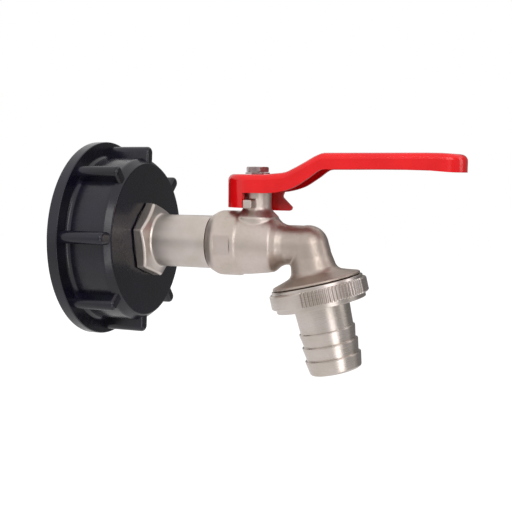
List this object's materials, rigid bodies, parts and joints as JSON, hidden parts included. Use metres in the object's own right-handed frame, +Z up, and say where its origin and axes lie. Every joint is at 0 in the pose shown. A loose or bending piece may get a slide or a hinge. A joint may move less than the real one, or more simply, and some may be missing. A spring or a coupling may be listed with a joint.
{
  "type": "ibc tap adapter",
  "caption": "Ribbed black screw cap carrying a nickel-plated ball tap with a red lever, a bent spout, a knurled coupling nut and a barbed hose tail.",
  "frame": {"origin": "centre of the cap's open mouth, in the plane of its rim", "axes": "+X along the pipe from the cap to the tap, +Z up, the lever above the pipe"},
  "size_m": [0.149, 0.08, 0.0901],
  "materials": {
    "black_plastic": "moulded glossy black polypropylene",
    "nickel_plate": "satin nickel plate on brass",
    "red_paint": "glossy red coating on pressed steel",
    "zinc_steel": "dull zinc-plated steel",
    "polished_metal": "polished chrome plate on brass",
    "white_seal": "white fluoropolymer seal",
    "black_rubber": "matt black rubber"
  },
  "bodies": {
    "tap": {"adapter_cap": "black_plastic", "cap_gasket": "black_rubber", "inlet_washer": "black_rubber", "inlet_connector": "nickel_plate", "valve_body": "nickel_plate", "inlet_seat": "white_seal", "outlet_seat": "white_seal", "thrust_washer": "white_seal"},
    "lever_set": {"lever": "red_paint", "lock_washer": "zinc_steel", "lever_nut": "zinc_steel", "stem": "nickel_plate", "ball": "polished_metal", "lower_stem_ring": "black_rubber", "upper_stem_ring": "black_rubber"},
    "union_washer": {"hose_washer": "black_rubber"},
    "union_nut": {"coupling_nut": "nickel_plate"},
    "tail": {"hose_tail": "nickel_plate"}
  },
  "joints": [
    {"name": "lever_turn", "type": "hinge", "parent": "tap", "child": "lever_set", "pos_m": [0.0698, 0, 0], "axis": [0, 0, -1], "range_deg": [0, 90]},
    {"name": "union_travel", "type": "slide", "parent": "tap", "child": "union_washer", "axis": [0.2419, 0, -0.9703], "range_m": [0, 0.00288]},
    {"name": "nut_turn", "type": "hinge", "parent": "union_washer", "child": "union_nut", "pos_m": [0.0907, 0, 0], "axis": [0.2419, 0, -0.9703], "range_deg": [0, 450]},
    {"name": "tail_swivel", "type": "hinge", "parent": "union_washer", "child": "tail", "pos_m": [0.0907, 0, 0], "axis": [0.2419, 0, -0.9703], "continuous": true}
  ],
  "couplings": [
    {"joint": "nut_turn", "follows": "union_travel", "rad_per_m": 2721.2}
  ]
}
